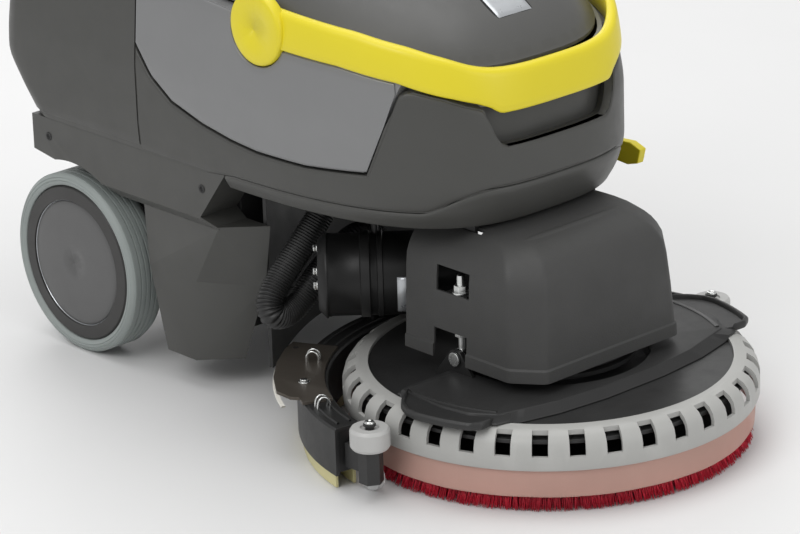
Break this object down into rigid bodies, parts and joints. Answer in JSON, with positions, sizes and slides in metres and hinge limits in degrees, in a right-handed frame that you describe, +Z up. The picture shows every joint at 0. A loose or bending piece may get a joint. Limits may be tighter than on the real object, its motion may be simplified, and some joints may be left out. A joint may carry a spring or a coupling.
{
  "type": "floor scrubber machine",
  "caption": "Walk-behind floor scrubber with a round brush head, splash ring, curved swinging squeegee, lift-out waste tank, carry handle, two wheels and folding push handle.",
  "frame": {"origin": "bottom centre of the bounding box, on the floor", "axes": "+X forward from the wheels to the brush head, +Y to the machine's left, +Z up"},
  "size_m": [0.82, 0.498, 1.0682],
  "materials": {
    "anthracite_plastic": "fine grained satin",
    "cover_plastic": "coarse grained matte",
    "silver_plastic": "satin metallic paint look",
    "yellow_plastic": "smooth satin",
    "black_plastic": "smooth matte",
    "black_paint": "semi-gloss",
    "black_rubber": "matte",
    "tyre_rubber": "matte grey",
    "rim_plastic": "satin",
    "hub_grey": "satin",
    "ring_plastic": "satin light grey",
    "skirt_felt": "translucent beige",
    "bristle_red": "red filament",
    "blade_rubber": "translucent pale yellow",
    "roller_grey": "smooth",
    "clear_plastic": "clear",
    "zinc_steel": "bright zinc",
    "gear_aluminium": "cast",
    "wing_steel": "dark bronze",
    "grip_foam": "matte foam",
    "green_plastic": "smooth",
    "battery_case": "smooth"
  },
  "bodies": {
    "chassis": {"chassis_frame": "black_paint", "nose_skirt": "anthracite_plastic", "pod_left": "anthracite_plastic", "pod_right": "anthracite_plastic", "bulkhead": "black_plastic", "battery_tray": "black_plastic", "battery_left": "battery_case", "battery_right": "battery_case", "axle_left": "zinc_steel", "axle_right": "zinc_steel", "fresh_tank": "anthracite_plastic", "rear_cap": "anthracite_plastic", "vacuum_motor": "black_plastic", "suction_pipe": "black_plastic", "head_cover": "cover_plastic", "adjust_rods": "zinc_steel", "pivot_pins": "zinc_steel", "suction_hose": "black_rubber"},
    "wheel_left": {"tyre_left": "tyre_rubber", "rim_left": "rim_plastic", "hub_cap_left": "hub_grey"},
    "wheel_right": {"tyre_right": "tyre_rubber", "rim_right": "rim_plastic", "hub_cap_right": "hub_grey"},
    "filler": {"filler_cap": "black_plastic"},
    "tank": {"waste_tank": "silver_plastic"},
    "lid": {"tank_lid": "anthracite_plastic"},
    "tank_handle": {"carry_handle": "yellow_plastic"},
    "deck": {"deck_plate": "black_plastic", "splash_ring": "ring_plastic", "splash_skirt": "skirt_felt", "deck_bridge": "anthracite_plastic", "pin_brackets": "black_paint", "gearbox": "gear_aluminium", "drive_motor": "black_paint", "motor_cap": "black_plastic"},
    "brush": {"brush_disc": "black_plastic", "bristles": "bristle_red"},
    "ejector": {"release_pin": "zinc_steel"},
    "pedal": {"release_pedal": "yellow_plastic"},
    "swing": {"swing_arm": "black_paint"},
    "squeegee": {"squeegee_channel": "black_plastic", "blade_inner": "blade_rubber", "blade_outer": "blade_rubber", "squeegee_wings": "wing_steel", "blade_clips": "zinc_steel", "roller_posts": "black_plastic"},
    "deflector_left": {"deflector_roller_left": "roller_grey"},
    "deflector_right": {"deflector_roller_right": "roller_grey"},
    "caster_left": {"caster_left": "clear_plastic"},
    "caster_right": {"caster_right": "clear_plastic"},
    "support_left": {"support_roller_left": "roller_grey"},
    "support_right": {"support_roller_right": "roller_grey"},
    "handle": {"push_column": "anthracite_plastic", "console": "anthracite_plastic", "handle_bow": "black_paint", "grips": "grip_foam"},
    "lever": {"safety_lever": "yellow_plastic"},
    "knob": {"speed_knob": "yellow_plastic"},
    "button": {"start_button": "green_plastic"}
  },
  "joints": [
    {"name": "wheel_left_spin", "type": "hinge", "parent": "chassis", "child": "wheel_left", "pos_m": [-0.297, 0.157, 0.094], "axis": [0, 1, 0], "continuous": true},
    {"name": "wheel_right_spin", "type": "hinge", "parent": "chassis", "child": "wheel_right", "pos_m": [-0.297, -0.157, 0.094], "axis": [0, 1, 0], "continuous": true},
    {"name": "filler_cap_hinge", "type": "hinge", "parent": "chassis", "child": "filler", "pos_m": [-0.265, 0.095, 0.456], "axis": [0, -1, 0], "range_deg": [0, 85]},
    {"name": "tank_lift", "type": "slide", "parent": "chassis", "child": "tank", "axis": [0, 0, 1], "range_m": [0, 0.16]},
    {"name": "lid_hinge", "type": "hinge", "parent": "tank", "child": "lid", "pos_m": [-0.173, 0, 0.453], "axis": [0, -1, 0], "range_deg": [0, 95]},
    {"name": "carry_handle_hinge", "type": "hinge", "parent": "tank", "child": "tank_handle", "pos_m": [0.001, 0, 0.402], "axis": [0, -1, 0], "range_deg": [0, 110]},
    {"name": "head_tilt", "type": "hinge", "parent": "chassis", "child": "deck", "pos_m": [0.19, 0, 0.1], "axis": [0, 1, 0], "range_deg": [-2, 2]},
    {"name": "brush_spin", "type": "hinge", "parent": "deck", "child": "brush", "pos_m": [0.21, 0, 0.03], "axis": [0, 0, 1], "continuous": true},
    {"name": "pedal_press", "type": "hinge", "parent": "chassis", "child": "pedal", "pos_m": [0.088, 0.18, 0.222], "axis": [0, 1, 0], "range_deg": [0, 18], "stiffness_Nm_per_rad": 2},
    {"name": "release_pin_slide", "type": "slide", "parent": "deck", "child": "ejector", "axis": [0, 0, -1], "range_m": [0, 0.0045]},
    {"name": "squeegee_swing", "type": "hinge", "parent": "chassis", "child": "swing", "pos_m": [0.21, 0, 0.089], "axis": [0, 0, 1], "range_deg": [-50, 50], "deforming": ["suction_hose"]},
    {"name": "squeegee_float", "type": "slide", "parent": "swing", "child": "squeegee", "axis": [0, 0, 1], "range_m": [0, 0.012], "deforming": ["suction_hose"]},
    {"name": "deflector_left_spin", "type": "hinge", "parent": "squeegee", "child": "deflector_left", "pos_m": [0.205, 0.23, 0.062], "axis": [0, 0, 1], "continuous": true},
    {"name": "deflector_right_spin", "type": "hinge", "parent": "squeegee", "child": "deflector_right", "pos_m": [0.205, -0.23, 0.062], "axis": [0, 0, 1], "continuous": true},
    {"name": "caster_left_spin", "type": "hinge", "parent": "squeegee", "child": "caster_left", "pos_m": [0.188, 0.2133, 0.014], "axis": [0, 1, 0], "continuous": true},
    {"name": "caster_right_spin", "type": "hinge", "parent": "squeegee", "child": "caster_right", "pos_m": [0.188, -0.2133, 0.014], "axis": [0, 1, 0], "continuous": true},
    {"name": "support_left_spin", "type": "hinge", "parent": "squeegee", "child": "support_left", "pos_m": [-0.00986, 0.13211, 0.05], "axis": [0, 0, 1], "continuous": true},
    {"name": "support_right_spin", "type": "hinge", "parent": "squeegee", "child": "support_right", "pos_m": [-0.00986, -0.13211, 0.05], "axis": [0, 0, 1], "continuous": true},
    {"name": "handle_fold", "type": "hinge", "parent": "chassis", "child": "handle", "pos_m": [-0.345, 0, 0.54], "axis": [0, -1, 0], "range_deg": [-90, 0]},
    {"name": "lever_squeeze", "type": "hinge", "parent": "handle", "child": "lever", "pos_m": [-0.37756, 0, 1.00413], "axis": [0, -1, 0], "range_deg": [0, 15], "stiffness_Nm_per_rad": 2},
    {"name": "knob_turn", "type": "hinge", "parent": "handle", "child": "knob", "pos_m": [-0.35, 0, 0.934], "axis": [-0.3746, 0, 0.9272], "range_deg": [0, 270]},
    {"name": "button_press", "type": "slide", "parent": "handle", "child": "button", "axis": [0.3746, 0, -0.9272], "range_m": [0, 0.003], "stiffness_N_per_m": 800}
  ],
  "couplings": [
    {"joint": "release_pin_slide", "follows": "pedal_press", "m_per_rad": 0.012732}
  ]
}
